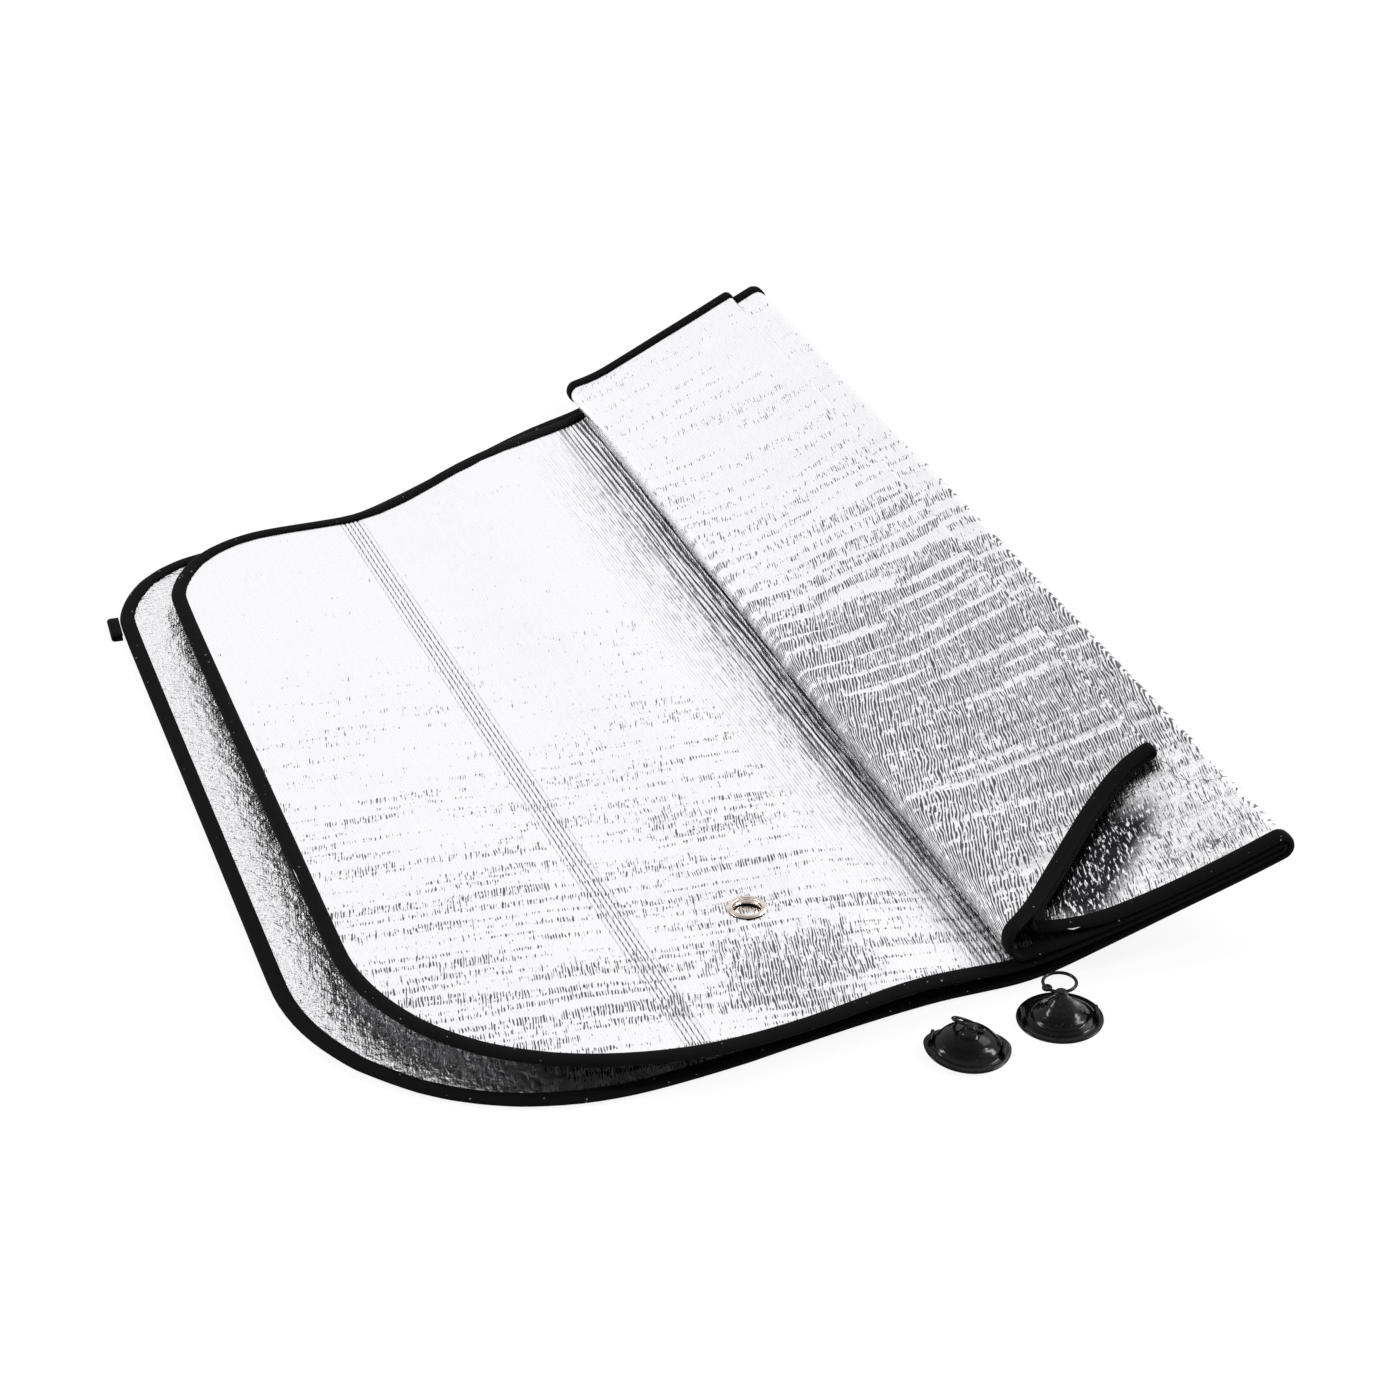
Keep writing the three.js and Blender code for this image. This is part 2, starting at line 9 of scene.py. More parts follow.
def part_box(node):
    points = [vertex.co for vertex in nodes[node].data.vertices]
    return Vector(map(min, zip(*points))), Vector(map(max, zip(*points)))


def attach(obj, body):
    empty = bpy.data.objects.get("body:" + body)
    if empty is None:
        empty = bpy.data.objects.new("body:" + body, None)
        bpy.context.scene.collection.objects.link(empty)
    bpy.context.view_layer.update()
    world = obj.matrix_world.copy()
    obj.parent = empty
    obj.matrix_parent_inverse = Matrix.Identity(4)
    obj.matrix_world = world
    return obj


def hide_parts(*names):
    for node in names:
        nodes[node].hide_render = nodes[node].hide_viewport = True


# Folded windscreen sunshade on a pale studio floor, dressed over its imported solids
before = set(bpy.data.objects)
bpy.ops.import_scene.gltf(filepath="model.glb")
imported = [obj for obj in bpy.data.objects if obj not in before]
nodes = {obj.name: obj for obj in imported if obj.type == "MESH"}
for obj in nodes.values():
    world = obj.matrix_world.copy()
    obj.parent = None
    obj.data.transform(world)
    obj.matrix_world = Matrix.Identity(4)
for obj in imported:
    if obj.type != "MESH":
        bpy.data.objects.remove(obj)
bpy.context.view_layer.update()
mm = 0.001


# Camera, at the photograph's place and angle
cameraSettings = {
    "place": (-0.53876, -1.49886, 0.970),
    "tilt": 59.0,            # degrees up from straight down
    "turn": -21.12,
    "lens": 102.7,
    "sensor": 36.0,
}


def makeCamera(settings):
    data = bpy.data.cameras.new("camera")
    data.lens = settings["lens"]
    data.sensor_width = settings["sensor"]
    data.clip_start = 0.01
    data.clip_end = 50
    camera = bpy.data.objects.new("camera", data)
    camera.location = settings["place"]
    camera.rotation_euler = (math.radians(settings["tilt"]), 0, math.radians(settings["turn"]))
    bpy.context.scene.collection.objects.link(camera)
    bpy.context.scene.camera = camera


makeCamera(cameraSettings)
print("camera set")


# Small helpers for node trees
def addNode(tree, kind, **values):
    node = tree.nodes.new(kind)
    for key, value in values.items():
        setattr(node, key, value)
    return node


def feed(tree, socket, value):
    if isinstance(value, bpy.types.NodeSocket):
        tree.links.new(value, socket)
    else:
        socket.default_value = value


def maths(tree, operation, *values):
    node = addNode(tree, "ShaderNodeMath", operation=operation)
    for socket, value in zip(node.inputs, values):
        feed(tree, socket, value)
    return node.outputs[0]


def chain(tree, operation, values):
    result = values[0]
    for value in values[1:]:
        result = maths(tree, operation, result, value)
    return result


def product(tree, *values):
    return chain(tree, "MULTIPLY", values)


def total(tree, *values):
    return chain(tree, "ADD", values)


def greatest(tree, *values):
    return chain(tree, "MAXIMUM", values)


def minus(tree, value, taken):
    return maths(tree, "SUBTRACT", value, taken)


def divided(tree, value, by):
    return maths(tree, "DIVIDE", value, by)


def waveOf(tree, turns, kind="SINE"):
    return maths(tree, kind, product(tree, turns, 2 * math.pi))


def ramp(tree, value, fromLow, fromHigh, toLow=0.0, toHigh=1.0):
    node = addNode(tree, "ShaderNodeMapRange", interpolation_type="SMOOTHSTEP")
    given = {"Value": value, "From Min": fromLow, "From Max": fromHigh, "To Min": toLow, "To Max": toHigh}
    for name, each in given.items():
        feed(tree, node.inputs[name], each)
    return node.outputs["Result"]


def stretched(tree, vector, scale):
    node = addNode(tree, "ShaderNodeVectorMath", operation="MULTIPLY")
    feed(tree, node.inputs[0], vector)
    feed(tree, node.inputs[1], scale)
    return node.outputs[0]


def turned(tree, vector, degrees):
    node = addNode(tree, "ShaderNodeMapping")
    feed(tree, node.inputs["Vector"], vector)
    node.inputs["Rotation"].default_value = (0, 0, math.radians(degrees))
    return node.outputs[0]


def axesOf(tree, vector):
    node = addNode(tree, "ShaderNodeSeparateXYZ")
    feed(tree, node.inputs[0], vector)
    return node.outputs


def noiseAt(tree, vector, scale, detail=2.0, roughness=0.5, distortion=0.0):
    node = addNode(tree, "ShaderNodeTexNoise")
    feed(tree, node.inputs["Vector"], stretched(tree, vector, scale))
    node.inputs["Scale"].default_value = 1.0
    node.inputs["Detail"].default_value = detail
    node.inputs["Roughness"].default_value = roughness
    node.inputs["Distortion"].default_value = distortion
    return node.outputs["Fac"]


def mixColours(tree, share, first, second):
    node = addNode(tree, "ShaderNodeMix", data_type="RGBA")
    for index, value in ((0, share), (6, first), (7, second)):
        feed(tree, node.inputs[index], value)
    return node.outputs[2]


def newGroup(name, inputs, outputs):
    tree = bpy.data.node_groups.new(name, "ShaderNodeTree")
    for label, kind in inputs:
        tree.interface.new_socket(name=label, in_out="INPUT", socket_type="NodeSocket" + kind)
    for label, kind in outputs:
        tree.interface.new_socket(name=label, in_out="OUTPUT", socket_type="NodeSocket" + kind)
    return tree, addNode(tree, "NodeGroupInput").outputs, addNode(tree, "NodeGroupOutput").inputs


def placeGroup(tree, group, **values):
    node = addNode(tree, "ShaderNodeGroup", node_tree=group)
    for key, value in values.items():
        feed(tree, node.inputs[key], value)
    return node.outputs


def newMaterial(name):
    material = bpy.data.materials.new(name)
    material.use_nodes = True
    tree = material.node_tree
    shader = tree.nodes["Principled BSDF"]
    where = addNode(tree, "ShaderNodeTexCoord").outputs["Object"]
    return material, tree, shader, where


def addBump(tree, shader, height):
    # The height is in millimetres
    bump = addNode(tree, "ShaderNodeBump")
    bump.inputs["Strength"].default_value = 1.0
    bump.inputs["Distance"].default_value = mm
    feed(tree, bump.inputs["Height"], height)
    tree.links.new(bump.outputs["Normal"], shader.inputs["Normal"])


# Fine marks side by side, broken into short lengths; on the foil their mask is painted crinkle shade
dashSettings = {
    "bend": {"scale": (60, 42, 60), "detail": 2},
    "jitter": {"scale": (560, 105, 260), "detail": 1},
    "grain": {"scale": (680, 180, 300), "detail": 2, "roughness": 0.6},
    "bendTurns": 2.2,
    "jitterTurns": 1.35,
    # Where a mark ends, in the grain and in the wave: at no cover, the change to full cover, softness
    "breaks": (0.79, -0.47, 0.10),
    "widths": (0.35, -0.9, 0.7),
}


def coveredEdge(tree, value, cover, start, change, softness):
    edge = total(tree, start, product(tree, cover, change))
    return ramp(tree, value, edge, total(tree, edge, softness))


def makeDashGroup(settings):
    tree, given, put = newGroup(
        "dashes",
        [("Vector", "Vector"), ("Pitch", "Float"), ("Cover", "Float")],
        [("Mask", "Float"), ("Height", "Float")],
    )
    place = given["Vector"]
    across = divided(tree, axesOf(tree, place)[0], given["Pitch"])
    bend = product(tree, noiseAt(tree, place, **settings["bend"]), settings["bendTurns"])
    jitter = product(tree, noiseAt(tree, place, **settings["jitter"]), settings["jitterTurns"])
    grain = noiseAt(tree, place, **settings["grain"])
    wave = waveOf(tree, total(tree, across, bend, jitter))
    there = coveredEdge(tree, grain, given["Cover"], *settings["breaks"])
    marks = coveredEdge(tree, wave, given["Cover"], *settings["widths"])
    feed(tree, put["Mask"], product(tree, there, marks))
    feed(tree, put["Height"], product(tree, total(tree, wave, 1.0), grain))
    return tree


# Woven threads and sparse lint
weaveSettings = {
    "thread": 0.5,
    "wander": {"scale": (900, 900, 900), "detail": 2},
    "specks": {"scale": (520, 520, 520), "detail": 1},
    "lintFrom": (0.76, 0.79),
}


def makeWeaveGroup(settings):
    tree, given, put = newGroup(
        "weave",
        [("Vector", "Vector"), ("Pitch", "Float")],
        [("Height", "Float"), ("Lint", "Float")],
    )
    turn = divided(tree, 2 * math.pi, given["Pitch"])
    x, y, z = axesOf(tree, given["Vector"])
    first = maths(tree, "SINE", product(tree, total(tree, x, y, z), turn))
    second = maths(tree, "SINE", product(tree, minus(tree, minus(tree, x, y), z), turn))
    threads = product(tree, greatest(tree, first, second), settings["thread"])
    wander = noiseAt(tree, given["Vector"], **settings["wander"])
    specks = noiseAt(tree, given["Vector"], **settings["specks"])
    feed(tree, put["Height"], total(tree, threads, wander))
    feed(tree, put["Lint"], ramp(tree, specks, *settings["lintFrom"]))
    return tree


dashGroup = makeDashGroup(dashSettings)
weaveGroup = makeWeaveGroup(weaveSettings)


# Foil: bright metal film over thin foam, crinkled along the folds
foilFinish = {
    "colour": (0.965, 0.965, 0.975, 1),
    # Painted shade and reflection in the crinkles and creases, for the marks, stripes, crease lines and stars
    "paintedCreaseShade": (0.06, 0.06, 0.068, 1),
    # Painted deep shade at the pressed lines by the fold, and painted dark reflection in the notch
    "pressed": (0.012, 0.012, 0.015, 1),
    "roughness": (0.3, 0.7, 0.19, 0.30),     # over the crumple, from where to where and between which values
    "marks": {               # short crinkle marks, turned a little from the folds; their dark is painted shade and reflection
        "pitch": 0.00125, "turn": 14, "shade": (0.3, 0.85, 0.66, 0.95),
        "wrap": 2.0, "wrapScale": 0.685,     # how they run up and over the round fold
    },
    "rows": {                # bright rows across the folds, between the painted dark marks, and a bump
        "pitch": 0.0140, "turn": 5, "bend": 2.6, "wave": 0.45,
        "looseTurn": 6, "loose": 2.4, "softness": 0.5, "fineTurn": 7,
    },
    # Fine lines left of the first fold, the sharp lines right beside it, the crease of the left panels; their
    # dark lines are painted shade and reflection
    "stripes": {"pitch": 0.0017, "wander": 2.0, "edge": (0.1, 0.9), "share": 0.03},
    "pressedLines": {"pitch": 0.0027, "wander": 1.3, "edge": (0.15, 0.6)},
    "lineBreaks": 3.0,       # how strongly the grain breaks both kinds of line
    "crease": {
        "pitch": 0.0023, "start": -0.06455, "edge": (0.2, 0.8), "share": 0.9, "broken": (0.15, 0.6, 0.4, 1),
    },
    "star": {                # creases that meet in stars, in the notch, painted as lines of dark shade
        "cells": (34, 26, 5), "bend": 0.55, "edge": (0.022, 0.004), "share": 0.8, "patches": (0.42, 0.55),
    },
    "notch": {               # its corner, its binding's direction, and how far the painted dark reflection beside that reaches
        "corner": (0.1135, -0.249), "direction": (0.7226, 0.691),
        "beside": (0.019, 0.006), "start": (-0.012, 0.006), "end": (0.088, 0.062), "crinkle": (0.64, 0.54),
        "slope": 0.23, "slopeFrom": 0.11, "top": (0.0255, 0.0245),   # of the layer seen in it
    },
    "cover": {               # how thickly the painted dark marks lie, over a noise or a mask
        "rows": 1.08, "fineRows": (0.40, 0.60, 0.5, 1.15),
        "patches": (0.35, 0.65), "patched": (0, 1, 0.88, 1.05), "eyelet": (0, 1, -0.05, 0.14),
        "glow": (0, 0.5, 1, 0.55), "strip": (0, 1, 1, 0.35), "notch": (0, 1, 1, 0.72), "roll": 0.1,
    },
    "glow": (0.38, 0.62, 0.15, 1.0),         # share of the painted stripe shade in its darkest zone, over the crumple
    "heights": {             # of the bumps, in millimetres
        "stripes": 0.012, "marks": 0.05, "rows": 0.2, "crumple": 0.7, "wrinkles": 1.9, "pressedLines": 0.06,
    },
    "crumpled": {"strip": 0.3, "eyelet": 0.5},      # next to the notch
    "stripesOffGlow": (0, 1, 0.3, 1),        # shares of the height elsewhere
    "rowsOffStack": (0, 1, 0.2, 1.0),
    "zones": {               # the axis, from where to where in metres, and between which values
        "near": ("y", 0.2, -0.25),
        "stackLeft": ("x", 0.070, 0.080),
        "stackBottom": ("z", 0.0100, 0.0125),
        "stackCover": ("y", 0.27, -0.08, 0.46, 0.84),
        "panelCover": ("y", 0.19, -0.22, 0.29, 0.71),
        "thinRows": ("y", 0.1, -0.2, 0.52, 0.83),
        "rowEdge": ("y", 0.22, -0.15, -0.12, -0.72),
        "rollRight": ("x", 0.093, 0.083),
        "rollFar": ("y", 0.26, 0.0),
        "foldLeft": ("x", 0.060, 0.076),
        "foldNear": ("y", -0.27, -0.1, 0.6, 0.9),
        "glowLeft": ("x", 0.028, 0.076),
        "glowFar": ("y", 0.30, 0.16),
        "glowNear": ("y", -0.26, -0.06),
        "creaseLeft": ("x", -0.071, -0.067),
        "creaseRight": ("x", -0.056, -0.060),
        "stripRight": ("x", -0.10, -0.14),
        "stripTop": ("z", 0.0055, 0.0035),
        "eyeletLeft": ("x", -0.055, -0.03),
        "eyeletRight": ("x", 0.05, 0.02),
        "eyeletNear": ("y", -0.262, -0.240),
        "eyeletFar": ("y", -0.175, -0.205),
        "eyeletBottom": ("z", 0.004, 0.008),
        "notchLeft": ("x", 0.098, 0.105),
        "notchFar": ("y", -0.165, -0.18),
        "starLeft": ("x", 0.145, 0.165),
    },
    "grains": {
        "rowBend": {"scale": (11, 22, 12), "detail": 2},
        "rows": {"scale": (12, 150, 14), "detail": 2, "distortion": 0.35},
        "patches": {"scale": (14, 14, 14)},
        "fineRows": {"scale": (16, 185, 20), "detail": 1},
        "drift": {"scale": (50, 6, 40), "detail": 3},
        "broken": {"scale": (700, 45, 300), "detail": 1},
        "crumple": {"scale": (520, 130, 300), "detail": 3, "roughness": 0.55, "distortion": 0.5},
        "wrinkles": {"scale": (230, 190, 260), "detail": 3, "roughness": 0.6},
        "crinkle": {"scale": (950, 230, 300), "detail": 2, "distortion": 0.4},
        "star": {"scale": (90, 90, 90), "detail": 2},
    },
}


def masksOnFoil(tree, where, finish):
    # Where on the folded sheet a point lies
    axes = dict(zip("xyz", axesOf(tree, where)))
    mask = {name: ramp(tree, axes[axis], *limits) for name, (axis, *limits) in finish["zones"].items()}
    mask["stack"] = product(tree, mask["stackLeft"], mask["stackBottom"])
    mask["offStack"] = minus(tree, 1.0, mask["stack"])
    mask["roll"] = product(tree, mask["stack"], mask["rollRight"], mask["rollFar"])
    mask["fold"] = product(tree, mask["foldLeft"], mask["offStack"])
    mask["glow"] = product(tree, mask["glowLeft"], mask["offStack"], mask["glowFar"], mask["glowNear"])
    mask["strip"] = product(tree, mask["stripRight"], mask["stripTop"])
    sides = ("Left", "Right", "Near", "Far", "Bottom")
    mask["eyelet"] = product(tree, *(mask["eyelet" + side] for side in sides))
    notch = finish["notch"]
    slope = product(tree, minus(tree, axes["x"], notch["slopeFrom"]), notch["slope"])
    below = ramp(tree, minus(tree, axes["z"], slope), *notch["top"])
    mask["notch"] = product(tree, below, mask["notchLeft"], mask["notchFar"])
    return mask


def rowsAcross(tree, where, mask, finish):
    # Height of the bright rows, and where they leave room for marks
    rows = finish["rows"]
    grains = finish["grains"]
    bend = product(tree, noiseAt(tree, where, **grains["rowBend"]), rows["bend"])
    across = axesOf(tree, turned(tree, where, rows["turn"]))[1]
    wave = waveOf(tree, total(tree, divided(tree, across, rows["pitch"]), bend))
    loose = minus(tree, noiseAt(tree, turned(tree, where, rows["looseTurn"]), **grains["rows"]), 0.5)
    height = total(tree, product(tree, wave, rows["wave"]), product(tree, loose, rows["loose"]))
    edge = mask["rowEdge"]
    return height, ramp(tree, height, edge, total(tree, edge, rows["softness"]))


def coverOfMarks(tree, where, rowMask, mask, finish):
    # How thickly the short marks of painted crinkle shade lie
    cover = finish["cover"]
    grains = finish["grains"]
    patches = ramp(tree, noiseAt(tree, where, **grains["patches"]), *cover["patches"])
    onStack = product(tree, mask["stack"], mask["stackCover"], ramp(tree, mask["notch"], *cover["notch"]))
    onPanels = product(tree, mask["offStack"], mask["panelCover"], ramp(tree, mask["glow"], *cover["glow"]))
    spread = product(
        tree,
        total(tree, onStack, onPanels),
        ramp(tree, rowMask, 0, 1, mask["thinRows"], cover["rows"]),
        ramp(tree, patches, *cover["patched"]),
    )
    spread = total(
        tree, spread,
        product(tree, mask["eyelet"], ramp(tree, patches, *cover["eyelet"])),
        product(tree, mask["roll"], cover["roll"]),
    )
    fineRows = noiseAt(tree, turned(tree, where, finish["rows"]["fineTurn"]), **grains["fineRows"])
    fineRows = greatest(tree, ramp(tree, fineRows, *cover["fineRows"]), mask["stack"], mask["eyelet"])
    return product(tree, spread, ramp(tree, mask["strip"], *cover["strip"]), fineRows)


def marksOnFoil(tree, where, cover, mask, marks):
    # The marks run up and over the fold's round side
    x, y, z = axesOf(tree, where)
    around = total(tree, x, product(tree, z, mask["stack"], marks["wrap"]))
    wrapped = addNode(tree, "ShaderNodeCombineXYZ")
    scale = ramp(tree, mask["stack"], 0, 1, 1, marks["wrapScale"])
    for socket, value in zip(wrapped.inputs, (product(tree, around, scale), y, z)):
        feed(tree, socket, value)
    place = turned(tree, wrapped.outputs[0], marks["turn"])
    return placeGroup(tree, dashGroup, Vector=place, Pitch=marks["pitch"], Cover=cover)


def linesOnFoil(tree, where, lines, finish):
    # Straight lines along the folds that drift and break a little
    x = axesOf(tree, where)[0]
    drift = noiseAt(tree, where, **finish["grains"]["drift"])
    broken = noiseAt(tree, where, **finish["grains"]["broken"])
    wave = waveOf(tree, total(tree, divided(tree, x, lines["pitch"]), product(tree, drift, lines["wander"])))
    return total(tree, wave, product(tree, minus(tree, broken, 0.5), finish["lineBreaks"]))


# Painted shade in the crease lines of the left panels
def creaseOnFoil(tree, where, marksHeight, mask, crease):
    x = axesOf(tree, where)[0]
    wave = waveOf(tree, divided(tree, minus(tree, x, crease["start"]), crease["pitch"]), "COSINE")
    broken = ramp(tree, marksHeight, *crease["broken"])
    return product(tree, mask["creaseLeft"], mask["creaseRight"], ramp(tree, wave, *crease["edge"]), broken)


def darkInNotch(tree, where, mask, finish):
    # Dark reflection of the binding in the open notch
    notch = finish["notch"]
    fromX, fromY = (minus(tree, value, start) for value, start in zip(axesOf(tree, where), notch["corner"]))
    alongX, alongY = notch["direction"]
    along = total(tree, product(tree, fromX, alongX), product(tree, fromY, alongY))
    beside = minus(tree, product(tree, fromX, alongY), product(tree, fromY, alongX))
    crinkle = noiseAt(tree, turned(tree, where, finish["marks"]["turn"]), **finish["grains"]["crinkle"])
    return product(
        tree,
        ramp(tree, beside, *notch["beside"]),
        ramp(tree, along, *notch["start"]),
        ramp(tree, along, *notch["end"]),
        ramp(tree, crinkle, *notch["crinkle"]),
        mask["notch"],
    )


def starsInNotch(tree, where, mask, finish):
    # Painted shade in sharp creases that meet in stars
    star = finish["star"]
    bend = noiseAt(tree, where, **finish["grains"]["star"])
    place = addNode(tree, "ShaderNodeVectorMath", operation="ADD")
    feed(tree, place.inputs[0], stretched(tree, where, star["cells"]))
    feed(tree, place.inputs[1], product(tree, bend, star["bend"]))
    cells = addNode(tree, "ShaderNodeTexVoronoi", feature="DISTANCE_TO_EDGE")
    feed(tree, cells.inputs["Vector"], place.outputs[0])
    cells.inputs["Scale"].default_value = 1.0
    lines = ramp(tree, cells.outputs["Distance"], *star["edge"])
    return product(tree, lines, mask["notch"], mask["starLeft"], ramp(tree, bend, *star["patches"]))


def makeFoilMaterial(finish):
    material, tree, shader, where = newMaterial("foil film")
    mask = masksOnFoil(tree, where, finish)
    rows, rowMask = rowsAcross(tree, where, mask, finish)
    cover = coverOfMarks(tree, where, rowMask, mask, finish)
    marks = marksOnFoil(tree, where, cover, mask, finish["marks"])
    stripes = linesOnFoil(tree, where, finish["stripes"], finish)
    pressed = linesOnFoil(tree, where, finish["pressedLines"], finish)
    crease = creaseOnFoil(tree, where, marks["Height"], mask, finish["crease"])
    crumple = noiseAt(tree, turned(tree, where, finish["marks"]["turn"]), **finish["grains"]["crumple"])

    high = finish["heights"]
    crumpled = total(
        tree,
        product(tree, mask["strip"], finish["crumpled"]["strip"]),
        product(tree, mask["eyelet"], finish["crumpled"]["eyelet"]),
        mask["notch"],
    )
    wrinkles = noiseAt(tree, where, **finish["grains"]["wrinkles"])
    addBump(tree, shader, total(
        tree,
        product(tree, stripes, ramp(tree, mask["glow"], *finish["stripesOffGlow"]), high["stripes"]),
        product(tree, marks["Height"], high["marks"]),
        product(tree, rows, ramp(tree, mask["stack"], *finish["rowsOffStack"]), mask["near"], high["rows"]),
        product(tree, crumple, crumpled, high["crumple"]),
        product(tree, wrinkles, mask["strip"], high["wrinkles"]),
        product(tree, pressed, mask["fold"], high["pressedLines"]),
    ))

    # Painted shade and reflection in the colour: the crinkle marks, stripes, crease lines and stars, and
    # deepest at the pressed lines and in the notch
    glow = product(tree, mask["glow"], ramp(tree, crumple, *finish["glow"]))
    stripeShare = total(tree, finish["stripes"]["share"], glow)
    dark = greatest(
        tree,
        product(tree, marks["Mask"], ramp(tree, cover, *finish["marks"]["shade"])),
        product(tree, ramp(tree, stripes, *finish["stripes"]["edge"]), stripeShare),
        product(tree, crease, finish["crease"]["share"]),
        product(tree, starsInNotch(tree, where, mask, finish), finish["star"]["share"]),
    )
    darkest = greatest(
        tree,
        product(tree, ramp(tree, pressed, *finish["pressedLines"]["edge"]), mask["fold"], mask["foldNear"]),
        darkInNotch(tree, where, mask, finish),
    )
    colour = mixColours(tree, dark, finish["colour"], finish["paintedCreaseShade"])
    feed(tree, shader.inputs["Base Color"], mixColours(tree, darkest, colour, finish["pressed"]))
    shader.inputs["Metallic"].default_value = 1.0
    feed(tree, shader.inputs["Roughness"], ramp(tree, crumple, *finish["roughness"]))
    return material


# Black tape of the edge binding and the loop
tapeFinish = {
    "colour": (0.003, 0.003, 0.0034, 1),
    "lint": (0.20, 0.20, 0.20, 1),
    "roughness": 0.65,
    "specular": 0.03,
    "pitch": 0.0009,
    "height": 0.05,          # of the weave, in millimetres
}


def makeTapeMaterial(finish):
    material, tree, shader, where = newMaterial("black satin tape")
    weave = placeGroup(tree, weaveGroup, Vector=where, Pitch=finish["pitch"])
    addBump(tree, shader, product(tree, weave["Height"], finish["height"]))
    feed(tree, shader.inputs["Base Color"], mixColours(tree, weave["Lint"], finish["colour"], finish["lint"]))
    shader.inputs["Roughness"].default_value = finish["roughness"]
    shader.inputs["Specular IOR Level"].default_value = finish["specular"]
    return material


# Stamped eyelets, pale warm metal
eyeletFinish = {
    "colour": (0.80, 0.70, 0.64, 1),
    "dull": (0.42, 0.34, 0.30, 1),
    "dulled": (0.45, 0.75),
    "roughness": (0.3, 0.7, 0.2, 0.35),
    "stain": {"scale": (260, 260, 260), "detail": 3},
    "grain": {"scale": (900, 900, 900)},
    "grainHeight": 0.03,     # in millimetres
}


def makeEyeletMaterial(finish):
    material, tree, shader, where = newMaterial("stamped eyelet metal")
    stain = noiseAt(tree, where, **finish["stain"])
    colour = mixColours(tree, ramp(tree, stain, *finish["dulled"]), finish["colour"], finish["dull"])
    feed(tree, shader.inputs["Base Color"], colour)
    shader.inputs["Metallic"].default_value = 1.0
    feed(tree, shader.inputs["Roughness"], ramp(tree, stain, *finish["roughness"]))
    addBump(tree, shader, product(tree, noiseAt(tree, where, **finish["grain"]), finish["grainHeight"]))
    return material


# Glossy black vinyl of the suction cups
cupFinish = {
    "colour": (0.0025, 0.0025, 0.003, 1),
    "dust": (0.02, 0.02, 0.022, 1),
    "dusted": (0.62, 0.8),
    "roughness": (0.3, 0.7, 0.08, 0.21),
    "specular": 0.16,
    "specks": {"scale": (700, 700, 700), "detail": 2},
    "wear": {"scale": (150, 150, 150)},
    "waves": {"scale": (180, 180, 240)},
    "waveHeight": 0.12,      # in millimetres
}


def makeCupMaterial(finish):
    material, tree, shader, where = newMaterial("glossy moulded vinyl")
    dust = ramp(tree, noiseAt(tree, where, **finish["specks"]), *finish["dusted"])
    feed(tree, shader.inputs["Base Color"], mixColours(tree, dust, finish["colour"], finish["dust"]))
    wear = noiseAt(tree, where, **finish["wear"])
    feed(tree, shader.inputs["Roughness"], ramp(tree, wear, *finish["roughness"]))
    shader.inputs["Specular IOR Level"].default_value = finish["specular"]
    addBump(tree, shader, product(tree, noiseAt(tree, where, **finish["waves"]), finish["waveHeight"]))
    return material


foilMaterial = makeFoilMaterial(foilFinish)
tapeMaterial = makeTapeMaterial(tapeFinish)
eyeletMaterial = makeEyeletMaterial(eyeletFinish)
cupMaterial = makeCupMaterial(cupFinish)
print("materials made")


# Shared mesh steps
def copyOfNode(name):
    bm = bmesh.new()
    bm.from_mesh(nodes[name].data)
    bmesh.ops.remove_doubles(bm, verts=bm.verts[:], dist=1e-6)
    bmesh.ops.join_triangles(
        bm, faces=bm.faces[:], angle_face_threshold=math.radians(40), angle_shape_threshold=math.radians(180)
    )
    return bm


def cutAcross(bm, axis, start, stop, spacing):
    normal = Vector((0, 0, 0))
    normal[axis] = 1
    for i in range(int((stop - start) / spacing) + 1):
        geometry = bm.verts[:] + bm.edges[:] + bm.faces[:]
        place = normal * (start + i * spacing)
        bmesh.ops.bisect_plane(bm, geom=geometry, dist=1e-6, plane_co=place, plane_no=normal)


def finishPiece(name, bm, material, slot, *replaced):
    mesh = bpy.data.meshes.new(name)
    bm.to_mesh(mesh)
    bm.free()
    mesh.shade_smooth()
    mesh.materials.append(material)
    piece = bpy.data.objects.new(name, mesh)
    bpy.context.scene.collection.objects.link(piece)
    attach(piece, "root")
    if replaced:
        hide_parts(*replaced)
    print(name, len(mesh.vertices), "points")
    return piece


def addSubdivision(piece, levels):
    modifier = piece.modifiers.new("round", "SUBSURF")
    modifier.levels = levels
    modifier.render_levels = levels


def smoothShare(value, start, stop):
    share = min(max((value - start) / (stop - start), 0), 1)
    return share * share * (3 - 2 * share)


# How far the folded sheet and its binding lift in soft creases, the same for every layer
rippleSettings = {
    "height": 0.0005,
    "stripHeight": 0.0011,   # left strip of the lower half
    "stripRight": (-0.15, -0.19),
    "notchHeight": 0.0014,   # in the open notch
    "notchLeft": (0.09, 0.11),
    "notchFar": (-0.15, -0.19),
    "wide": (26, 34, 3.7),   # waves a metre along x and y, and the seed
    "fine": (61, 75, 9.1),
    "fineShare": 0.5,
    "lift": (0.5, 0.6),      # middle and spread of the waves, as shares of the height
    "eyelets": ((-0.0074, -0.1792), (-0.0336, -0.1792)),
    "eyeletClear": (0.011, 0.03),
}


def waveAt(x, y, wave):
    return noise.noise(Vector((x * wave[0], y * wave[1], wave[2])))


